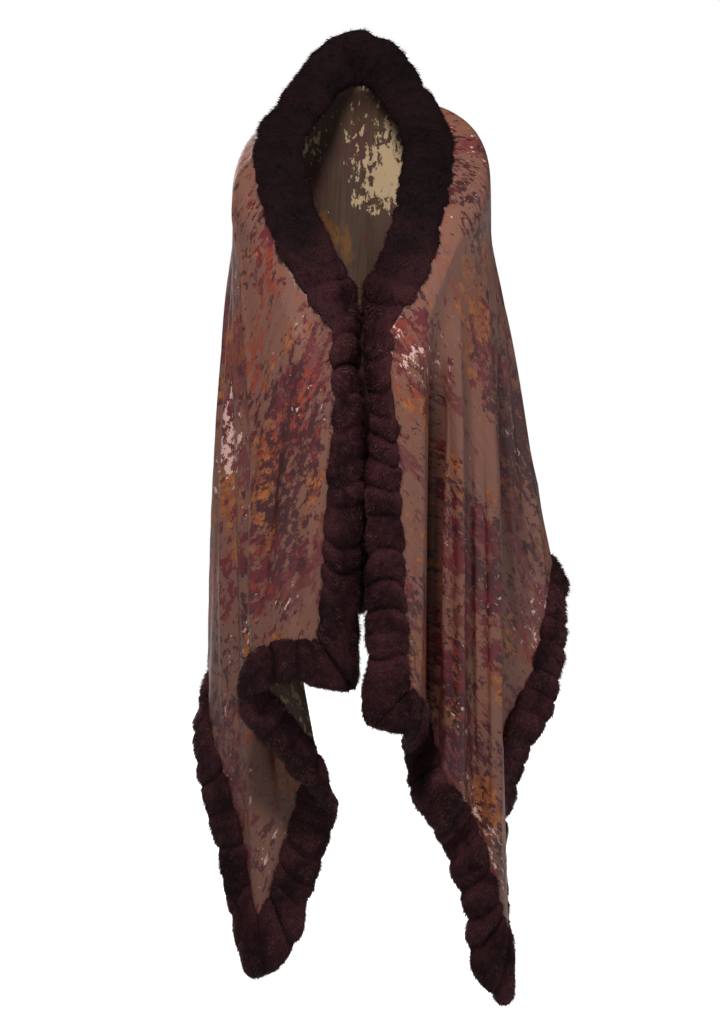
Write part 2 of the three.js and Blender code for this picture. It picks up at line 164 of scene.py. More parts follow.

# The colours of cloth and fur as they look on a screen, from 0 to 255, among them a painted shade for
# the grooves of the fur
FACE_DYES = {
    "ground": (116, 78, 68),
    "light ground": (128, 90, 80),
    "warm ground": (132, 88, 70),
    "ochre": (184, 112, 42),
    "burnt ochre": (134, 66, 38),
    "stain": (96, 32, 44),
    "wine": (98, 30, 42),
    "dark wine": (62, 22, 30),
    "rust": (142, 58, 40),
    "fleck": (56, 24, 32),
    "pink": (226, 190, 184),
    "specks": (222, 184, 172),
}
BACK_DYES = {
    "ground": (70, 54, 43),
    "light ground": (86, 66, 52),
    "ochre": (128, 84, 42),
    "mauve": (88, 46, 52),
    "cream": (196, 172, 138),
}
FUR_COLOURS_AND_PAINTED_SHADE = {
    "dark fur": (32, 12, 17),
    "fur": (68, 35, 41),
    "dark collar": (14, 5, 7),
    "collar": (25, 10, 14),
    # a painted shade for the grooves between the pelts, not a colour of the fur
    "painted groove shade": (14, 6, 8),
    "tips": (176, 114, 114),
    "collar tips": (70, 38, 44),
}
COLLAR_DARKENS = (-0.36, -0.08)
CLOTH_SPECULAR, FUR_SPECULAR = 0.3, 0.1

# The studio, in metres, watts and degrees
Sun = namedtuple("Sun", "name way strength spread")
SUNS = [
    Sun("from behind", (0.3, -1.0, -0.4), 2.1, 30),
    Sun("from the right side", (1.0, 0.25, -0.4), 0.2, 60),
    Sun("from the left side", (-1.0, 0.55, -0.4), 0.9, 40),
]
KEY_LAMP_PLACE, KEY_LAMP_AIM = (-0.28, -1.6, 0.92), (0.02, -0.2, -0.35)
KEY_LAMP_SIZE, KEY_LAMP_POWER = 0.35, 34
WARM_WHITE = (1.0, 0.94, 0.89)
WORLD_LIGHT = 0.07
FLOOR_HEIGHT, FLOOR_HALF_SIZE = -1.45, 30
FLOOR_GREY, FLOOR_GLOW = 0.9, 0.9
CAMERA_DISTANCE, CAMERA_HEIGHT = 12.0, -0.561
STOLE_FRONT = 0.06
FRAME_HEIGHT = 1.486
SENSOR = 36

NeckRow = namedtuple("NeckRow", "middle skew lean width seat out")
Fold = namedtuple("Fold", "name neck chest waist hem")
Crease = namedtuple("Crease", "fold_above fold_below top bottom width depth")

# The middle line of the fur from the breast to the nape, on the wearer's left
NECKLINE = [
    NeckRow((21, -204, -298), 2, (-0.5, 0.86, 0.1), 81, 0, (42, -237, -345)),
    NeckRow((39, -210, -252), -1, (-0.8, 0.5, 0.3), 85, 0, (74, -233, -308)),
    NeckRow((71, -201, -184), -4, (-0.93, 0.2, 0.3), 79, 0, (112, -217, -242)),
    NeckRow((93, -169, -115), -8, (-0.97, 0.1, 0.18), 76, 0, (144, -184, -166)),
    NeckRow((104, -126, -54), -11, (-0.97, 0.05, 0.12), 77, 0, (178, -132, -92)),
    NeckRow((100, -86, -14), -9, (-0.97, -0.05, -0.14), 74, 25, (172, -74, -30)),
    NeckRow((81, -60, 19), -5, (-0.93, -0.1, -0.36), 70, 60, (140, -34, 8)),
    NeckRow((59, -35, 51), -4, (-0.84, -0.1, -0.5), 68, 100, (92, 2, 26)),
    NeckRow((35, -13, 83), -3, (-0.62, -0.1, -0.78), 76, 150, (42, 22, 20)),
    NeckRow((0, 0, 101), -3, (0, -0.1, -0.99), 84, 180, (0, 28, 12)),
]
NAPE = len(NECKLINE) - 1
LAST_PLACE = 2 * NAPE

# The fold lines, from the right front edge round the back to the left front edge
FOLDS = [
    Fold("right front edge", 0, (-36, -235), (-46, -230), (-58, -212, -747)),
    Fold("right panel", 1.95, (-98, -228), (-98, -230), (-108, -210, -744)),
    Fold("right ridge", 4.05, (-170, -150), (-149, -192), (-156, -182, -768)),
    Fold("right valley", 4.45, (-176, -130), (-136, -150), (-62, -116, -915)),
    Fold("right end, upper", 4.7, (-179, -118), (-150, -128), (-86, -78, -968)),
    Fold("right tip", 4.95, (-183, -108), (-168, -113), (-147, -66, -1142)),
    Fold("right tip, outer", 5.25, (-187, -95), (-184, -98), (-168, -50, -1040)),
    Fold("right side", 5.55, (-190, -80), (-198, -75), (-192, -38, -955)),
    Fold("right side, outer", 5.93, (-192, -58), (-207, -45), (-219, -12, -862)),
    Fold("right back", 6.6, (-176, 0), (-192, 35), (-207, 52, -752)),
    Fold("back ridge 1", 7.2, (-146, 36), (-160, 82), (-166, 92, -702)),
    Fold("back valley 1", 7.73, (-104, 47), (-114, 50), (-118, 48, -676)),
    Fold("back ridge 2", 8.25, (-72, 52), (-78, 96), (-84, 116, -664)),
    Fold("back valley 2", 8.77, (-24, 54), (-22, 60), (-30, 46, -652)),
    Fold("back ridge 3", 9.38, (22, 54), (30, 84), (28, 98, -644)),
    Fold("back valley 3", 9.9, (66, 52), (72, 40), (78, 30, -640)),
    Fold("back ridge 4", 10.5, (108, 46), (130, 96), (142, 118, -636)),
    Fold("back valley 4", 11.1, (150, 24), (184, 62), (204, 66, -630)),
    Fold("left flare", 11.7, (205, -20), (252, 40), (276, 52, -622)),
    Fold("left flare, front", 12, (204, -40), (246, 18), (272, 18, -690)),
    Fold("left side", 12.3, (200, -58), (228, -10), (250, 0, -792)),
    Fold("left side valley", 12.67, (192, -78), (188, -40), (208, -30, -888)),
    Fold("left tip, outer", 13.05, (190, -92), (194, -62), (200, -56, -1030)),
    Fold("left tip", 13.35, (184, -112), (195, -96), (214, -98, -1178)),
    Fold("left end, lower", 13.7, (176, -132), (184, -128), (196, -126, -1090)),
    Fold("left end valley", 14.1, (162, -156), (160, -132), (163, -118, -1003)),
    Fold("left end ridge", 14.6, (146, -176), (144, -172), (146, -160, -970)),
    Fold("left end, inner", 15, (134, -192), (125, -170), (124, -154, -946)),
    Fold("left fold, outer", 15.4, (120, -204), (114, -146), (111, -124, -902)),
    Fold("left fold, inner", 15.75, (108, -214), (101, -148), (97, -130, -858)),
    Fold("left ridge", 16.3, (91, -226), (91, -216), (86, -200, -824)),
    Fold("left front edge", 18, (50, -235), (57, -230), (72, -214, -815)),
]
FOLD_NAMES = [fold.name for fold in FOLDS]

# The way the fur lies out from each front edge, at the chest, the waist and the hem
FRONT_LEANS = {
    "right": [(0.55, 0.83, 0), (0.7, 0.71, 0), (0.74, 0.67, 0)],
    "left": [(-0.55, 0.83, 0), (-0.72, 0.69, 0), (-0.97, 0.24, 0)],
}

# Creases of the worn cloth. Folds are counted along FOLDS, heights are millimetres above the nape,
# and a depth below zero is a trough.
CREASES = [
    Crease(0.35, 0.3, -330, -700, 12, 4),
    Crease(0.8, 0.7, -520, -790, 12, -9),
    Crease(1.05, 1.0, -500, -780, 10, 6),
    Crease(1.2, 1.7, -380, -720, 14, -13),
    Crease(1.5, 1.95, -400, -740, 12, 10),
    Crease(2.15, 2.05, -100, -760, 11, 12),
    Crease(2.5, 2.4, -140, -700, 14, -15),
    Crease(3.4, 3.4, -500, -900, 12, 4),
    Crease(4.5, 4.4, -560, -1000, 14, -6),
    Crease(5.4, 5.3, -260, -1040, 14, 7),
    Crease(5.85, 6.3, -200, -960, 13, -9),
    Crease(6.5, 7.2, -260, -900, 13, 8),
    Crease(7.1, 7.8, -140, -680, 14, -9),
    Crease(7.9, 8.5, -330, -860, 12, 7),
    Crease(8.5, 8.9, -150, -760, 15, -8),
    Crease(9.3, 9.2, -100, -600, 15, 9),
    Crease(9.75, 9.6, -230, -740, 12, -7),
    Crease(10.4, 10.5, -60, -520, 16, -8),
    Crease(10.8, 11.1, -340, -700, 12, 7),
    Crease(11.5, 11.4, -120, -650, 16, 9),
    Crease(12.1, 12.3, -280, -690, 13, -8),
    Crease(12.6, 12.8, -80, -480, 16, 7),
    Crease(13.3, 13.5, -210, -680, 14, -9),
    Crease(14.0, 14.1, -60, -640, 15, 8),
    Crease(14.6, 14.4, -300, -690, 13, -8),
    Crease(15.3, 15.5, -130, -560, 15, -7),
    Crease(15.9, 16.1, -250, -680, 13, 8),
    Crease(16.6, 16.4, -80, -620, 15, -8),
    Crease(17.3, 17.5, -180, -680, 13, 9),
    Crease(18.3, 18.1, -110, -520, 14, -7),
    Crease(18.9, 19.0, -260, -720, 12, 7),
    Crease(19.6, 19.7, -90, -620, 12, -7),
    Crease(20.4, 20.3, -200, -780, 12, 7),
    Crease(21.0, 21.0, -320, -860, 11, -7),
    Crease(21.6, 21.6, -180, -820, 10, 7),
    Crease(22.4, 22.4, -210, -980, 10, 8),
    Crease(22.9, 22.8, -260, -900, 11, -9),
    Crease(23.5, 23.6, -160, -1060, 9, 9),
    Crease(24.2, 24.3, -330, -980, 10, -7),
    Crease(24.7, 24.7, -420, -960, 8, 6),
    Crease(25.4, 25.3, -340, -900, 10, -7),
    Crease(26.1, 26.0, -250, -940, 8, 8),
    Crease(26.6, 26.6, -420, -900, 9, -6),
    Crease(27.1, 27.1, -460, -860, 8, 5),
    Crease(28.5, 28.5, -330, -900, 24, -22),
    Crease(30.25, 30.2, -400, -800, 12, 6),
    Crease(30.55, 30.6, -340, -790, 12, -7),
    Crease(30.8, 30.8, -520, -800, 9, 4),
]


def smooth_through(points, places, even=False):
    """Points at places from 0 to 1 along the smooth curves through rows of control points."""
    points, places = np.asarray(points, float), np.asarray(places, float)
    last = len(points) - 1
    knots = np.concatenate([2 * points[:1] - points[1:2], points, 2 * points[-1:] - points[-2:-1]])
    span = np.clip(np.floor(places * last), 0, last - 1).astype(int)
    share = (places * last - span).reshape(-1, *[1] * (points.ndim - 1))
    before, start, end, after = (knots[span + k] for k in range(4))
    if even:
        leaving, arriving = (end - before) / 2, (after - start) / 2
    else:
        gaps = [
            np.sqrt(np.linalg.norm(b - a, axis=-1, keepdims=True))
            for a, b in ((before, start), (start, end), (end, after))
        ]
        steps = [(start - before) / gaps[0], (end - start) / gaps[1], (after - end) / gaps[2]]
        leaving = gaps[1] * (steps[0] - (end - before) / (gaps[0] + gaps[1]) + steps[1])
        arriving = gaps[1] * (steps[1] - (after - start) / (gaps[1] + gaps[2]) + steps[2])
    cubic = 2 * start - 2 * end + leaving + arriving
    square = 3 * end - 3 * start - 2 * leaving - arriving
    return ((cubic * share + square) * share + leaving) * share + start


def unit(vectors):
    """The vectors, each drawn out or in to a length of one."""
    return vectors / np.maximum(np.linalg.norm(vectors, axis=-1, keepdims=True), NOTHING)


def oval_share(value):
    """A sine or cosine, squared off for the fur's section."""
    return np.sign(value) * np.abs(value) ** FUR_SQUARENESS


def along_neckline(places):
    """The neckline table at places from 0 to 18, mirrored on the wearer's right."""
    places = np.atleast_1d(np.asarray(places, float))
    table = np.array([[*r.middle, r.skew, *r.lean, r.width, r.seat, *r.out] for r in NECKLINE])
    values = smooth_through(table, np.minimum(places, LAST_PLACE - places) / NAPE, even=True)
    middle, skew, lean = values[:, :3], values[:, 3], unit(values[:, 4:7])
    width, seat, out = values[:, 7], values[:, 8], values[:, 9:]
    for sideways in (middle, lean, out):
        sideways[places <= NAPE, 0] *= -1
    return NeckRow(middle, skew, lean, width, seat, out)


def seat_shares(seat):
    """Where the cloth joins the fur, across and under it, in shares of half its size."""
    angle = np.radians(np.clip(seat, 0, 180))
    return -oval_share(np.cos(angle)), oval_share(np.sin(angle))


def seam_points(places):
    """The edge of the cloth along the neckline, just clear of the fur."""
    places = np.atleast_1d(np.asarray(places, float))
    row = along_neckline(places)
    ahead = along_neckline(np.minimum(places + 1 / NECK_SAMPLES, LAST_PLACE)).middle
    back = along_neckline(np.maximum(places - 1 / NECK_SAMPLES, 0)).middle
    under = unit(np.cross(ahead - back, row.lean))
    across_share, under_share = seat_shares(row.seat)
    seam = row.middle + row.lean * (across_share * (row.width / 2 + FUR_GAP))[:, None]
    seam += under * (under_share * (FUR_HALF_THICKNESS + FUR_GAP))[:, None]
    seam[:, 0] += row.skew
    return seam


def places_between(steps):
    """Places along a curve through control points, with so many steps between each two."""
    places = [0.0]
    for span, count in enumerate(steps):
        places += [(span + step / count) / len(steps) for step in range(1, count + 1)]
    return np.array(places)


def column_steps(columns):
    """How many columns of points lie between each two folds."""
    steps = []
    for a, b in zip(FOLDS, FOLDS[1:]):
        gap = max(math.dist(a.hem, b.hem), math.dist(a.chest, b.chest))
        steps.append(min(max(round_half_up(gap / columns.spacing), columns.least), columns.most))
    return steps


def round_half_up(value):
    return int(value + 0.5)


def cloth_grid(steps_down, steps_across):
    """The middle of the cloth as rows of points, from the neckline to the hem."""
    neck = np.array([fold.neck for fold in FOLDS])
    out = along_neckline(neck).out
    out[:, 2] += SHOULDER_TILT * out[:, 0]
    chest = np.array([fold.chest for fold in FOLDS])
    chest = np.column_stack([chest, np.minimum(CHEST, out[:, 2] - BELOW_SHOULDER)])
    waist = np.array([(*fold.waist, WAIST) for fold in FOLDS])
    hem = np.array([fold.hem for fold in FOLDS])
    lines = smooth_through([seam_points(neck), out, chest, waist, hem], places_between(steps_down))
    sections = smooth_through(lines.swapaxes(0, 1), places_between(steps_across))
    return sections.swapaxes(0, 1)


def cloth_normals(grid):
    """The way out of the cloth at each point."""
    across = np.empty_like(grid)
    across[:, 1:-1] = grid[:, 2:] - grid[:, :-2]
    across[:, 0], across[:, -1] = grid[:, 1] - grid[:, 0], grid[:, -1] - grid[:, -2]
    down = np.empty_like(grid)
    down[1:-1] = grid[2:] - grid[:-2]
    down[0], down[-1] = grid[1] - grid[0], grid[-1] - grid[-2]
    return unit(np.cross(across, down))


class Station:
    """One place along the edge of the cloth, with the fur that it carries."""

    def __init__(self, point, face, away, width, seat=0.0, corner=False):
        self.point, self.face, self.away = point, face, away
        self.width, self.seat, self.corner = width, seat, corner

    def towards(self, other, share):
        """A station that lies a share of the way to another one."""
        ours = (self.point, self.face, self.away, self.width, self.seat)
        theirs = (other.point, other.face, other.away, other.width, other.seat)
        point, face, away, width, seat = (x + (y - x) * share for x, y in zip(ours, theirs))
        return Station(point, face, unit(away), width, seat, corner=share == 0 and self.corner)


def edge_loop(grid, normals, steps_across):
    """The edge of the cloth as a loop, from the right front corner up, round and back."""
    bottom, end = grid.shape[0] - 1, grid.shape[1] - 1
    column_at = dict(zip(FOLD_NAMES, np.concatenate([[0], np.cumsum(steps_across)])))
    samples = np.arange(LAST_PLACE * NECK_SAMPLES + 1) / NECK_SAMPLES
    seams = seam_points(samples)
    places = [samples[np.argmin(np.linalg.norm(seams - p, axis=1))] for p in grid[0]]
    neck = along_neckline(places)
    down = places_between(COARSE_STEPS_DOWN)

    def front_lean(side, j):
        top = neck.lean[0 if side == "right" else -1]
        return unit(smooth_through([top, top, *FRONT_LEANS[side]], [down[j]], even=True)[0])

    def front_width(side, j):
        return np.interp(down[j], FRONT_FUR_NARROWS, FRONT_FUR_WIDTHS[side])

    def across_hem(i):
        along = unit(grid[bottom][min(i + 1, end)] - grid[bottom][max(i - 1, 0)])
        fall = grid[bottom][i] - grid[bottom - 2][i]
        return unit(fall - along * fall.dot(along))

    def hem_lean(i):
        near = range(i - HEM_SMOOTHING, i + HEM_SMOOTHING + 1)
        lean = sum(across_hem(min(max(k, 0), end)) for k in near)
        if not column_at["right tip"] <= i <= column_at["left tip"]:
            lean[1] *= END_FUR_DEPTH
        flare = min(max((grid[bottom][i][0] - FLARE_FROM) / FLARE_OVER, 0), 1)
        lean = unit(lean)
        lean[1] += flare * FLARE_BACK
        return unit(lean)

    loop = []
    for j in range(bottom, 0, -1):
        width = front_width("right", j)
        loop.append(Station(grid[j][0], normals[j][0], front_lean("right", j), width))
    for i in range(end + 1):
        station = Station(grid[0][i], normals[0][i], neck.lean[i], neck.width[i], neck.seat[i])
        loop.append(station)
    for j in range(1, bottom + 1):
        width = front_width("left", j)
        loop.append(Station(grid[j][end], normals[j][end], front_lean("left", j), width))
    for i in range(end - 1, 0, -1):
        loop.append(Station(grid[bottom][i], normals[bottom][i], hem_lean(i), FUR_WIDTH))
    left_corner = 2 * bottom + end
    tips = [left_corner + end - column_at[name] for name in ("left tip", "right tip")]
    for corner in (0, left_corner):
        mitre(loop, corner)
    for tip, sideways in zip(tips, TIP_LEANS):
        loop[tip].away, loop[tip].width = unit(np.array([sideways, 0.0, -1.0])), TIP_REACH
    for corner in (0, left_corner, *tips):
        loop[corner].corner = True
    return loop


def mitre(loop, corner):
    """Turns the fur at a corner of the loop to the diagonal between its two edges."""
    before, after = loop[corner - 1].away, loop[(corner + 1) % len(loop)].away
    loop[corner].away = unit(before + after)
    loop[corner].width /= max(MITRE_LIMIT, loop[corner].away.dot(after))


def dense_loop(loop):
    """The loop with its stations close together, each with its middle and its room for fur."""
    stations = []
    for k, a in enumerate(loop):
        b = loop[(k + 1) % len(loop)]
        steps = max(1, round_half_up(np.linalg.norm(b.point - a.point) / FUR_STEP))
        stations += [a.towards(b, step / steps) for step in range(steps)]
    round_tips(stations)
    count = len(stations)
    for k, s in enumerate(stations):
        back = s.point - stations[k - 1].point
        ahead = stations[(k + 1) % count].point - s.point
        span = (np.linalg.norm(back) + np.linalg.norm(ahead)) / 2
        s.along = unit(unit(back) + unit(ahead))
        s.normal = unit(np.cross(s.along, s.away))
        turn = (unit(ahead) - unit(back)).dot(s.normal) / span
        s.room = {
            side: min(FUR_HALF_THICKNESS, ROOM_IN_BEND / max(bend, FLATTEST_BEND))
            for side, bend in (("outer", turn), ("inner", -turn))
        }
        steepness = max(abs(s.away.dot(unit(edge))) for edge in (back, ahead))
        across, under = (float(share) for share in seat_shares(s.seat))
        flank = unit(s.away * (across / (s.width / 2)) + s.normal * (under / s.room["outer"]))
        gap = FUR_GAP + CLOTH_WALL / 2 * abs(flank.dot(s.face))
        gap /= math.sqrt(1 - steepness**2)
        s.middle = s.point - flank * gap - s.away * (across * s.width / 2)
        s.middle = s.middle - s.normal * (under * s.room["outer"])
    for k, station in enumerate(stations):
        for m, other in enumerate(stations):
            clear_neighbour(station, other, abs(m - k), count)
    return stations


def round_tips(stations):
    """Turns the fur near the two hanging corners downwards, cut level below the corner."""
    tips = [s.point for s in stations if s.width == TIP_REACH]
    for k, station in enumerate(stations):
        far = [np.linalg.norm(tip - station.point) for tip in tips]
        tip, share = tips[int(np.argmin(far))], 1 - min(far) / TIP_ROUNDING
        if share <= 0 or share == 1:
            continue
        edge = unit(stations[(k + 1) % len(stations)].point - stations[k - 1].point)
        turned = share**TIP_TURN
        station.away = unit(station.away * (1 - turned) + np.array([0, 0, -1]) * turned)
        to_cut = TIP_REACH + station.point[2] - tip[2]
        to_cut /= max(-station.away[2], MITRE_LIMIT / 2)
        station.width = min(to_cut, station.width / np.linalg.norm(np.cross(station.away, edge)))


def clear_neighbour(station, other, apart, count):
    """Thins the fur where another stretch of the edge hangs close on one side of it."""
    between = other.middle - station.middle
    distance = np.linalg.norm(between)
    if min(apart, count - apart) <= NEIGHBOUR_STEPS or distance > FUR_WIDTH:
        return
    sideways = between.dot(station.normal)
    if abs(sideways) < NEIGHBOUR_ABREAST * distance:
        return
    side = "outer" if sideways > 0 else "inner"
    room = max(LEAST_ROOM, abs(sideways) * NEIGHBOUR_SHARE)
    station.room[side] = min(station.room[side], room)


def crease_cloth(grid, normals, fold_places):
    """Moves the cloth in and out along its creases, by the listed widths and depths."""
    per_fold = np.gradient(grid, axis=1) / np.gradient(fold_places)[None, :, None]
    spread = np.linalg.norm(per_fold, axis=2)
    height = grid[..., 2]
    moved = np.zeros(height.shape)
    for crease in CREASES:
        share = (crease.top - height) / (crease.top - crease.bottom)
        bent = share + CREASE_BOW * np.sin(share * math.pi)
        line = crease.fold_above + (crease.fold_below - crease.fold_above) * bent
        aside = (fold_places[None, :] - line) * spread / crease.width
        fade = np.sin(np.clip(share, 0, 1) * math.pi) ** CREASE_FADE
        moved += crease.depth * np.exp(-(np.abs(aside) ** CREASE_SQUARENESS)) * fade
    inside = np.clip(distance_from_edges(grid) / CREASE_FREE_EDGE, 0, 1)
    return grid + normals * (moved * inside)[..., None]


def distance_from_edges(grid):
    """How far along the cloth each point is from the nearest edge."""
    down = np.linalg.norm(np.diff(grid, axis=0), axis=2)
    above = np.vstack([np.zeros(grid.shape[1]), np.cumsum(down, axis=0)])
    across = np.linalg.norm(np.diff(grid, axis=1), axis=2)
    beside = np.hstack([np.zeros((grid.shape[0], 1)), np.cumsum(across, axis=1)])
    sides = [above, above[-1:] - above, beside, beside[:, -1:] - beside]
    return np.minimum.reduce(sides)


def flatten_cloth(coarse, nape):
    """Where each point of the worn cloth lies once it is flat, in metres from the nape."""
    sheet = sheet_from("flattening", coarse, np.zeros((*coarse.shape[:2], 2)))
    bpy.context.view_layer.objects.active = sheet
    bpy.ops.object.mode_set(mode="EDIT")
    bpy.ops.mesh.select_all(action="SELECT")
    bpy.ops.uv.unwrap(method="MINIMUM_STRETCH", margin=0)
    bpy.ops.object.mode_set(mode="OBJECT")
    corners = read_numbers(sheet.data.loops, "vertex_index", 1, int)[:, 0]
    spots = read_numbers(sheet.data.uv_layers["cut"].uv, "vector", 2)
    bpy.data.objects.remove(sheet)
    flat = np.empty((coarse.shape[0] * coarse.shape[1], 2))
    flat[corners] = spots
    flat = flat.reshape(*coarse.shape[:2], 2)
    flat *= length_down(coarse) * MM / length_down(flat)
    x, y = unit(flat[-1, nape] - flat[0, nape])
    return (flat - flat[0, nape]) @ np.array([[y, x], [-x, y]])


def read_numbers(collection, name, width, kind=float):
    """One property of everything in a mesh's collection, a row for each."""
    values = np.empty(len(collection) * width, kind)
    collection.foreach_get(name, values)
    return values.reshape(-1, width)


def length_down(grid):
    """The lengths of all the lines that run down a grid, together."""
    return np.linalg.norm(np.diff(grid, axis=0), axis=2).sum()


def between(fine, coarse):
    """The share of each coarse place in each fine one."""
    return np.array([np.interp(fine, coarse, row) for row in np.eye(len(coarse))]).T


def tuck_under_fur(grid, stations):
    """The grid with one more ring of points all round, tucked into the fur."""
    points = np.array([s.point for s in stations])
    inwards = np.array([s.middle - s.point for s in stations])

    def tucked(edge):
        far = np.linalg.norm(points[None] - edge[:, None], axis=2)
        near = np.argsort(far, axis=1)[:, :2]
        weight = 1 / (np.take_along_axis(far, near, axis=1) + 1)
        way = (inwards[near] * weight[..., None]).sum(axis=1) / weight.sum(axis=1)[:, None]
        return edge + unit(way) * TUCK

    wide = np.concatenate([tucked(grid[:, 0])[:, None], grid, tucked(grid[:, -1])[:, None]], axis=1)
    above, below = tucked(wide[0]), tucked(wide[-1])
    return np.concatenate([above[None], wide, below[None]], axis=0)


def sheet_from(name, grid, cut):
    """A grid of points as one mesh, with its flat cut as a UV map."""
    rows, columns = grid.shape[:2]
    bm = bmesh.new()
    bmesh.ops.create_grid(bm, x_segments=columns - 1, y_segments=rows - 1, size=1)
    uv = bm.loops.layers.uv.new("cut")
    for vert in bm.verts:
        i = round((vert.co.x + 1) / 2 * (columns - 1))
        j = round((vert.co.y + 1) / 2 * (rows - 1))
        vert.co = grid[j, i] * MM
        for loop in vert.link_loops:
            loop[uv].uv = cut[j, i]
    return finished(name, bm)


def finished(name, bm, smooth=True):
    """The object of a mesh that is ready."""
    mesh = bpy.data.meshes.new(name)
    for face in bm.faces:
        face.smooth = smooth
    bm.to_mesh(mesh)
    bm.free()
    return placed(name, mesh)


def placed(name, data):
    """A new object in the scene that holds a mesh, a lamp or a camera."""
    holder = bpy.data.objects.new(name, data)
    bpy.context.scene.collection.objects.link(holder)
    return holder


def fold_places_of(steps_across):
    """Where each column of points lies, counted in folds."""
    places = [0.0]
    for fold, count in enumerate(steps_across):
        places += [fold + step / count for step in range(1, count + 1)]
    return np.array(places)


def make_cloth(coarse, coarse_steps, stations):
    """The cloth: fine rows of points with its creases, tucked into the fur all round."""
    steps = column_steps(FINE_COLUMNS)
    grid = cloth_grid(FINE_STEPS_DOWN, steps)
    flat = flatten_cloth(coarse, sum(coarse_steps[: FOLD_NAMES.index(MIDDLE_FOLD)]))
    down = between(places_between(FINE_STEPS_DOWN), places_between(COARSE_STEPS_DOWN))
    across = between(fold_places_of(steps), fold_places_of(coarse_steps))
    cut = np.einsum("aj,jik,bi->abk", down, flat, across)
    grid = crease_cloth(grid, cloth_normals(grid), fold_places_of(steps))
    grid = tuck_under_fur(grid, stations)
    cut = np.pad(cut, ((1, 1), (1, 1), (0, 0)), mode="edge")
    cloth = sheet_from("stole_cloth", grid, cut)
    wall = cloth.modifiers.new("wall", "SOLIDIFY")
    wall.thickness = CLOTH_THICKNESS * MM
    wall.offset = 0
    wall.material_offset = 1
    return cloth


def strip_stations(stations):
    """The run of stations that each strip of fur covers."""
    corners = [k for k, s in enumerate(stations) if s.corner] + [len(stations)]
    ring = [*stations, stations[0]]
    return [ring[first : last + 1] for first, last in zip(corners, corners[1:])]


def pelt_seams(length, rng):
    """Where the seams between the pelts of a strip lie, and how deep each one pinches."""
    seams = [0.0]
    while seams[-1] < length - PELT_LENGTH[1]:
        seams.append(seams[-1] + rng.uniform(*PELT_LENGTH))
    seams = np.array([*seams, length])
    return seams, rng.uniform(*GROOVE_DEPTHS, len(seams))


def seam_slant(gone, angle, rng):
    """How far along the strip a seam wanders on its way round."""
    once, twice = SLANT_LENGTH
    slant = rng.uniform(*GROOVE_SLANT) * np.sin(angle[None] + gone[:, None] / once)
    slant += rng.uniform(*GROOVE_SLANT) * np.sin(angle[None] * 2 - gone[:, None] / twice)
    return slant


def strip_surface(run, rng):
    """One strip of fur: its points, from end to end and round, and how plump each place is."""
    table = np.array(
        [[*s.middle, *s.away, *s.normal, s.width, s.room["outer"], s.room["inner"]] for s in run]
    )
    places = np.linspace(0, 1, (len(run) - 1) * FINE_PER_STATION + 1)
    fine = smooth_through(table, places, even=True)
    middle, away, normal = fine[:, :3], unit(fine[:, 3:6]), unit(fine[:, 6:9])
    width, outer, inner = fine[:, 9], fine[:, 10], fine[:, 11]
    gone = np.concatenate([[0], np.cumsum(np.linalg.norm(np.diff(middle, axis=0), axis=1))])
    angle = np.arange(FINE_SIDES) / FINE_SIDES * 2 * math.pi
    seams, depths = pelt_seams(gone[-1], rng)
    at = np.clip(gone[:, None] + seam_slant(gone, angle, rng), 0, gone[-1] - HAIR)
    pelt = np.searchsorted(seams, at, side="right") - 1
    share = (at - seams[pelt]) / (seams[pelt + 1] - seams[pelt])
    plump = (1 - np.abs(2 * share - 1) ** PELT_SQUARENESS) ** PELT_ROUNDNESS
    depth = depths[pelt] * (1 - share) + depths[pelt + 1] * share
    depth *= np.interp(middle[:, 2], NECK_HEIGHTS, (1, NECK_GROOVES))[:, None]
    dent = depth * (1 - plump)
    breadth = -oval_share(np.cos(angle))[None] * (width / 2 - PILE_ALLOWANCE / 2)[:, None]
    breadth = breadth * (1 - SCALLOP * dent / max(GROOVE_DEPTHS)) - OVER_CLOTH
    room = np.where(np.sin(angle)[None] > 0, outer[:, None], inner[:, None])
    half = np.maximum(room - PILE_ALLOWANCE, LEAST_HALF_THICKNESS)
    thick = half * (1 - dent) * oval_share(np.sin(angle))[None]
    points = middle[:, None] + away[:, None] * breadth[..., None] + normal[:, None] * thick[..., None]
    out = unit(points - middle[:, None])
    swell = np.array([[noise.noise(Vector(p / SWELL_LENGTH)) for p in ring] for ring in points])
    return points + out * (SWELL * swell)[..., None], 1 - dent / max(GROOVE_DEPTHS)


def tube_from(name, points, plump):
    """A closed tube through rings of points, each ring marked with how plump it is."""
    rings, sides = points.shape[:2]
    bm = bmesh.new()
    bmesh.ops.create_grid(bm, x_segments=sides, y_segments=rings - 1, size=1)
    mark = bm.verts.layers.float.new("plump")
    for vert in bm.verts:
        side = round((vert.co.x + 1) / 2 * sides) % sides
        ring = round((vert.co.y + 1) / 2 * (rings - 1))
        vert.co = points[ring, side] * MM
        vert[mark] = plump[ring, side]
    bmesh.ops.remove_doubles(bm, verts=bm.verts, dist=HAIR)
    rims = [edge for edge in bm.edges if edge.is_boundary]
    bmesh.ops.holes_fill(bm, edges=rims, sides=0)
    for face in [face for face in bm.faces if len(face.verts) > 4]:
        bmesh.ops.poke(bm, faces=[face])
    bmesh.ops.recalc_face_normals(bm, faces=bm.faces)
    return finished(name, bm)


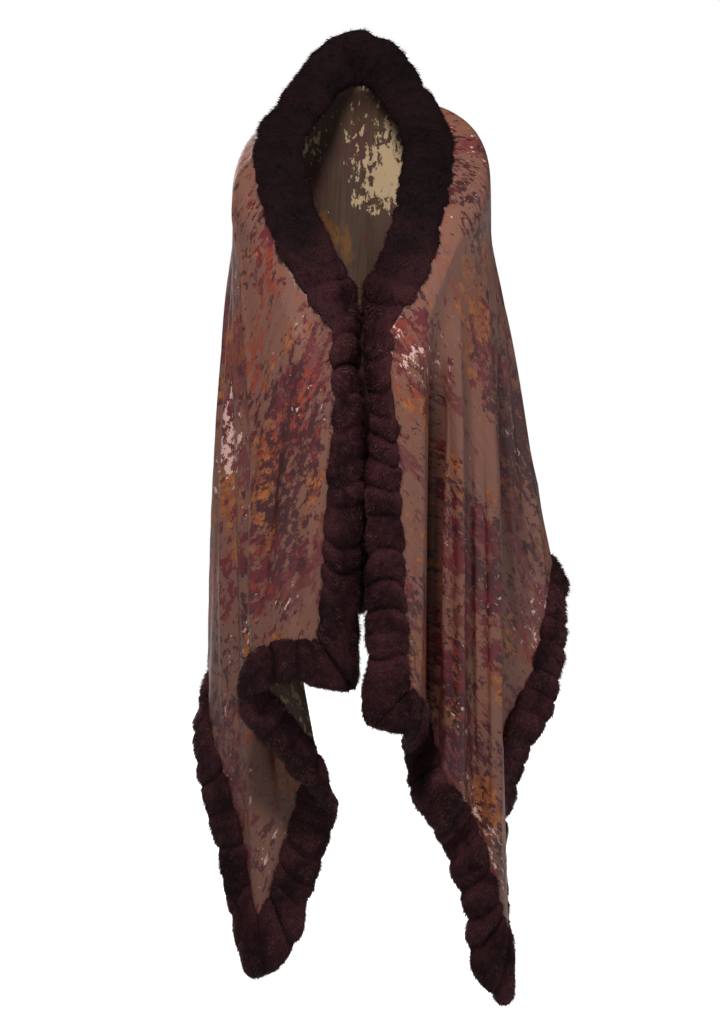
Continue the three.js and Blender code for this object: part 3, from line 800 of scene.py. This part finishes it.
def spread_roots(body, count, rng):
    """So many places on a strip of fur: the root, the way out and the plumpness of each."""
    mesh = body.data
    mesh.calc_loop_triangles()
    verts = read_numbers(mesh.vertices, "co", 3)
    normals = read_numbers(mesh.vertices, "normal", 3)
    plump = read_numbers(mesh.attributes["plump"].data, "value", 1)[:, 0]
    tris = read_numbers(mesh.loop_triangles, "vertices", 3, int)
    a, b, c = (verts[tris[:, k]] for k in range(3))
    area = np.linalg.norm(np.cross(b - a, c - a), axis=1)
    chosen = tris[rng.choice(len(tris), count, p=area / area.sum())]
    shares = rng.dirichlet((1, 1, 1), count)[..., None]
    root = (verts[chosen] * shares).sum(axis=1)
    out = unit((normals[chosen] * shares).sum(axis=1))
    return root, out, (plump[chosen] * shares[..., 0]).sum(axis=1)


def way_of_lying(root, out, rng):
    """The way each tuft lies: outwards, down, and along with its neighbours."""
    drift = unit(rng.normal(size=root.shape))
    clump = np.array([noise.noise_vector(Vector(p * CLUMP_SCALE)) for p in root])
    fall = np.array([0, 0, -1.0]) + out * out[:, 2:]
    return unit(LIES_OUT * out + LIES_ASTRAY * drift + LIES_DOWN * fall + LIES_BRUSHED * clump)


def tuft_points(root, out, plumpness, rng):
    """The corners of each tuft at its root, and its tip."""
    count = len(root)
    way = way_of_lying(root, out, rng)
    length = rng.uniform(*TUFT_LENGTH, count)[:, None] * MM
    length = length * (GROOVE_LENGTH + (1 - GROOVE_LENGTH) * plumpness[:, None])
    width = rng.uniform(*TUFT_WIDTH, count)[:, None] * MM
    side = unit(np.cross(way, unit(rng.normal(size=(count, 3)))))
    other = np.cross(way, side)
    sunk = root - way * width
    corners = []
    for k in range(TUFT_SIDES):
        turn = 2 * math.pi * k / TUFT_SIDES
        corners.append(sunk + (side * math.cos(turn) + other * math.sin(turn)) * width / 2)
    return np.stack([*corners, root + way * length], axis=1)


def tuft_tones(root, plumpness, rng):
    """How light the tip of each tuft is: brushed patches, with painted shade that darkens it in the
    grooves.
    """
    brushed = [np.array([noise.noise(Vector(p * k)) for p in root]) for k in BRUSHED_SCALES]
    tone = MIDDLE_TONE + BRUSHED_SHARES[0] * brushed[0] + BRUSHED_SHARES[1] * brushed[1]
    tone = np.clip(tone, LEAST_TONE, 1)
    # painted shade: the less plump the fur, the darker the tips
    return tone * rng.uniform(*TONE_SPREAD, len(root)) * plumpness**GROOVE_SHADE


def make_pile(name, body, count, rng):
    """So many tufts on a strip of fur, as one mesh of narrow spikes."""
    root, out, plumpness = spread_roots(body, count, rng)
    points = tuft_points(root, out, plumpness, rng)
    corners = TUFT_SIDES + 1
    spike = np.array([[0, 2, 1], [0, 1, 3], [1, 2, 3], [2, 0, 3]])
    faces = (np.arange(count)[:, None, None] * corners + spike).reshape(-1, 3)
    pile = bpy.data.meshes.new(name)
    pile.vertices.add(points.size // 3)
    pile.vertices.foreach_set("co", points.ravel())
    pile.loops.add(faces.size)
    pile.loops.foreach_set("vertex_index", faces.ravel())
    pile.polygons.add(len(faces))
    pile.polygons.foreach_set("loop_start", np.arange(len(faces)) * 3)
    pile.update(calc_edges=True)
    pile.validate()
    tip = pile.attributes.new("tip", "FLOAT", "POINT")
    tip.data.foreach_set("value", np.tile([0.0, 0.0, 0.0, 1.0], count))
    # the tone holds the brushed patches and the painted shade in the grooves
    tone = pile.attributes.new("tone", "FLOAT", "POINT")
    tone.data.foreach_set("value", np.repeat(tuft_tones(root, plumpness, rng), corners))
    return placed(name, pile)


def linear(red, green, blue):
    """A colour given as it looks on a screen, from 0 to 255, as light."""
    shares = [v / 255 for v in (red, green, blue)]
    light = [v / 12.92 if v <= 0.04045 else ((v + 0.055) / 1.055) ** 2.4 for v in shares]
    return (*light, 1.0)


class Value:
    """An output of a shader node, whose sums and products add Math nodes."""

    def __init__(self, shader, socket):
        self.shader, self.socket = shader, socket

    def math(self, operation, *values):
        return self.shader.node("ShaderNodeMath", dict(enumerate(values)), operation=operation)

    def __add__(self, other):
        return self.math("ADD", self, other)

    def __sub__(self, other):
        return self.math("SUBTRACT", self, other)

    def __rsub__(self, other):
        return self.math("SUBTRACT", other, self)

    def __mul__(self, other):
        return self.math("MULTIPLY", self, other)

    __radd__ = __add__
    __rmul__ = __mul__

    def over(self, low, high):
        """1 where this is above high, 0 below low, and smooth between."""
        settings = {"interpolation_type": "SMOOTHSTEP", "clamp": True}
        return self.shader.node("ShaderNodeMapRange", {0: self, 1: low, 2: high}, **settings)


class Shader:
    """A material that is built up from nodes."""

    def __init__(self, name):
        self.material = bpy.data.materials.new(name)
        self.material.use_nodes = True
        self.tree = self.material.node_tree
        self.tree.nodes.clear()

    def node(self, kind, inputs=None, output=0, **settings):
        """A new node's output, its settings made first and then its inputs."""
        made = self.tree.nodes.new(kind)
        for name, value in settings.items():
            setattr(made, name, value)
        for key, value in (inputs or {}).items():
            if isinstance(value, Value):
                self.tree.links.new(value.socket, made.inputs[key])
            else:
                made.inputs[key].default_value = value
        return Value(self, made.outputs[output])

    def scaled(self, vector, scale, start=(0, 0, 0)):
        return self.node("ShaderNodeMapping", {"Vector": vector, "Location": start, "Scale": scale})

    def noise(self, vector, scale, detail=2.0, roughness=0.5, distortion=0.0):
        inputs = {"Vector": vector, "Scale": scale, "Detail": detail}
        inputs.update({"Roughness": roughness, "Distortion": distortion})
        return self.node("ShaderNodeTexNoise", inputs)

    def mix(self, factor, a, b):
        return self.node("ShaderNodeMix", {0: factor, 6: a, 7: b}, output=2, data_type="RGBA")

    def bump(self, height, strength, distance):
        inputs = {"Height": height, "Strength": strength, "Distance": distance}
        return self.node("ShaderNodeBump", inputs)

    def finish(self, inputs):
        surface = self.node("ShaderNodeBsdfPrincipled", inputs)
        output = self.tree.nodes.new("ShaderNodeOutputMaterial")
        self.tree.links.new(surface.socket, output.inputs["Surface"])
        return self.material


def splash(shader, cut, row, raised=0.0):
    """A mask of ragged splashes, from a row of the print's table."""
    moved = shader.scaled(cut, (1.0, SPLASH_LENGTHWAYS, 1.0), (*row.start, 0))
    place = shader.noise(moved, row.patches, 2.0)
    rags = shader.noise(moved, row.rags, 4.0, 0.7, 0.25)
    value = place * (1 - row.ragged) + rags * row.ragged
    level = raised + row.level
    return value.over(level, level + row.soft) * row.strength


def light_of(dyes):
    return {name: linear(*shade) for name, shade in dyes.items()}


def thread_streaks(shader, cut):
    """Fine streaks along the threads, which run down the cloth."""
    return shader.noise(shader.scaled(cut, (260, 9, 1)), 1.0, 3.0, 0.6)


def front_print():
    """The face of the cloth: a mauve ground with ragged splashes of burgundy, ochre and pink."""
    shader = Shader("printed_face")
    cut = shader.node("ShaderNodeUVMap", uv_map="cut")
    streaks = thread_streaks(shader, cut)
    paint = light_of(FACE_DYES)
    clouds = shader.noise(shader.scaled(cut, (1, 0.4, 1)), 9.0, 3.0)
    ground = shader.mix(streaks.over(0.25, 0.75), paint["ground"], paint["light ground"])
    ground = shader.mix(clouds.over(0.4, 0.62) * 0.6, ground, paint["warm ground"])
    burnt = shader.noise(cut, 60, 4.0, 0.7).over(0.42, 0.56)
    paint["ochre"] = shader.mix(burnt, paint["ochre"], paint["burnt ochre"])
    paint["wine"] = shader.mix(splash(shader, cut, DARK_IN_WINE), paint["wine"], paint["dark wine"])
    paint["scraped"] = ground
    colour = ground
    for name, row in FACE_SPLASHES.items():
        colour = shader.mix(splash(shader, cut, row), colour, paint[name])
    soft, grain = shader.noise(cut, 60, 3.0), shader.noise(cut, 900, 1.0)
    return shader.finish(
        {
            "Base Color": colour,
            "Roughness": streaks * 0.14 + 0.42,
            "Normal": shader.bump(soft * 0.5 + grain * 0.06, 0.2, 0.002),
            "Specular IOR Level": CLOTH_SPECULAR,
        }
    )


def back_print():
    """The wrong side of the cloth: olive brown with ragged cream, ochre and mauve splashes."""
    shader = Shader("printed_wrong_side")
    cut = shader.node("ShaderNodeUVMap", uv_map="cut")
    paint = light_of(BACK_DYES)
    streaks = thread_streaks(shader, cut).over(0.3, 0.7)
    colour = shader.mix(streaks, paint["ground"], paint["light ground"])
    for name, row in BACK_SPLASHES.items():
        colour = shader.mix(splash(shader, cut, row), colour, paint[name])
    down = shader.node("ShaderNodeSeparateXYZ", {0: cut}, output=1)
    bare = down.over(*BARE_FROM) * (1 - down.over(*BARE_TO))
    cream = splash(shader, cut, CREAM_SPLASH, bare * BARE_LEVEL)
    colour = shader.mix(cream, colour, paint["cream"])
    return shader.finish(
        {"Base Color": colour, "Roughness": 0.62, "Specular IOR Level": CLOTH_SPECULAR}
    )


def fur_colours(shader):
    """The place, how near it is to the collar, the fur's colour there, and the colours, among them
    the painted shade for the grooves.
    """
    paint = light_of(FUR_COLOURS_AND_PAINTED_SHADE)
    place = shader.node("ShaderNodeTexCoord", output="Object")
    height = shader.node("ShaderNodeSeparateXYZ", {0: place}, output=2)
    collar = height.over(*COLLAR_DARKENS)
    patch = shader.noise(place, 16, 2).over(0.35, 0.65)
    hanging = shader.mix(patch, paint["dark fur"], paint["fur"])
    neck = shader.mix(patch, paint["dark collar"], paint["collar"])
    return place, collar, shader.mix(collar, hanging, neck), paint


def under_fur():
    """The dense under fur, with painted shade in its grooves, and darker round the neck."""
    shader = Shader("fur_base")
    place, _, colour, paint = fur_colours(shader)
    plump = shader.node("ShaderNodeAttribute", output="Fac", attribute_name="plump")
    return shader.finish(
        {
            # painted shade: the fur goes dark where it is least plump, in the grooves
            "Base Color": shader.mix(plump.over(0.2, 0.75), paint["painted groove shade"], colour),
            "Roughness": 0.75,
            "Normal": shader.bump(shader.noise(place, 420, 3), 0.7, 0.003),
            "Specular IOR Level": FUR_SPECULAR,
        }
    )


def fur_tufts():
    """The tufts of the pile, lighter at their tips but with painted shade in the grooves, and darker
    round the neck.
    """
    shader = Shader("fur_tufts")
    _, collar, colour, paint = fur_colours(shader)
    tip = shader.node("ShaderNodeAttribute", output="Fac", attribute_name="tip")
    tone = shader.node("ShaderNodeAttribute", output="Fac", attribute_name="tone")
    light = shader.mix(collar, paint["tips"], paint["collar tips"])
    # the tone's painted shade darkens the tips in the grooves
    colour = shader.mix(tip * tone, colour, light)
    return shader.finish(
        {"Base Color": colour, "Roughness": 0.6, "Specular IOR Level": FUR_SPECULAR}
    )


def make_floor():
    """A plain pale floor, where a standing wearer's feet would be."""
    bm = bmesh.new()
    bmesh.ops.create_grid(bm, x_segments=1, y_segments=1, size=FLOOR_HALF_SIZE)
    bmesh.ops.translate(bm, verts=bm.verts, vec=(0, 0, FLOOR_HEIGHT))
    floor = finished("floor", bm, smooth=False)
    white = Shader("pale_floor")
    glow = {"Base Color": (FLOOR_GREY, FLOOR_GREY, FLOOR_GREY, 1)}
    glow.update({"Emission Color": (1, 1, 1, 1), "Emission Strength": FLOOR_GLOW})
    floor.data.materials.append(white.finish(glow))
    floor.visible_diffuse = False


def make_camera():
    camera = bpy.data.cameras.new("camera")
    camera.sensor_width = SENSOR
    camera.lens = SENSOR * CAMERA_DISTANCE / FRAME_HEIGHT
    holder = placed("camera", camera)
    holder.location = (0, -CAMERA_DISTANCE - STOLE_FRONT, CAMERA_HEIGHT)
    holder.rotation_euler = (math.pi / 2, 0, 0)
    bpy.context.scene.camera = holder


def facing(way):
    return Vector(way).to_track_quat("-Z", "Y").to_euler()


def make_sun(sun):
    """A large soft lamp far away, shining along a direction."""
    light = bpy.data.lights.new(sun.name, "SUN")
    light.energy, light.angle, light.color = sun.strength, math.radians(sun.spread), WARM_WHITE
    placed(sun.name, light).rotation_euler = facing(sun.way)


def make_key_lamp():
    """A soft square lamp in front and above, unseen itself."""
    light = bpy.data.lights.new("key", "AREA")
    light.energy, light.size, light.color = KEY_LAMP_POWER, KEY_LAMP_SIZE, WARM_WHITE
    holder = placed("key", light)
    holder.location = KEY_LAMP_PLACE
    holder.rotation_euler = facing(Vector(KEY_LAMP_AIM) - Vector(KEY_LAMP_PLACE))
    holder.visible_camera = False


def make_world():
    """A faint even light from all round, which looks white to the camera."""
    world = bpy.data.worlds.new("studio")
    world.use_nodes = True
    nodes, links = world.node_tree.nodes, world.node_tree.links
    seen = nodes.new("ShaderNodeMix")
    seen.data_type = "FLOAT"
    seen.inputs["A"].default_value, seen.inputs["B"].default_value = WORLD_LIGHT, 1.0
    links.new(nodes.new("ShaderNodeLightPath").outputs["Is Camera Ray"], seen.inputs["Factor"])
    links.new(seen.outputs["Result"], nodes["Background"].inputs["Strength"])
    nodes["Background"].inputs["Color"].default_value = (1, 1, 1, 1)
    bpy.context.scene.world = world


def make_studio():
    """Plain soft light from in front and above, on white."""
    make_floor()
    make_key_lamp()
    for sun in SUNS:
        make_sun(sun)
    make_world()
    bpy.context.scene.view_settings.view_transform = "Standard"


def dress_cloth(coarse, steps, stations):
    """The cloth with its print, in place of its five solids."""
    cloth = make_cloth(coarse, steps, stations)
    cloth.data.materials.append(front_print())
    cloth.data.materials.append(back_print())
    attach(cloth, "root")
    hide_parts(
        "cloth_right_front",
        "cloth_right_side",
        "cloth_back",
        "cloth_left_side",
        "cloth_left_front",
    )
    return cloth


def dress_fur(stations, rng):
    """The strips of fur, each with its pile, in place of their solids."""
    base, tufts = under_fur(), fur_tufts()
    trims = []
    for node, run in zip(FUR_STRIPS, strip_stations(stations)):
        body = tube_from(node + "_body", *strip_surface(run, rng))
        body.data.materials.append(base)
        count = min(TUFTS_PER_STATION * len(run), MOST_TUFTS)
        pile = make_pile(node + "_pile", body, count, rng)
        pile.data.materials.append(tufts)
        for piece in (body, pile):
            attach(piece, "root")
            trims.append(piece)
        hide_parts(node)
    return trims


def main():
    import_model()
    steps = column_steps(COARSE_COLUMNS)
    coarse = cloth_grid(COARSE_STEPS_DOWN, steps)
    stations = dense_loop(edge_loop(coarse, cloth_normals(coarse), steps))
    cloth = dress_cloth(coarse, steps, stations)
    noise.seed_set(SEED)
    trims = dress_fur(stations, np.random.default_rng(SEED))
    make_studio()
    make_camera()


main()
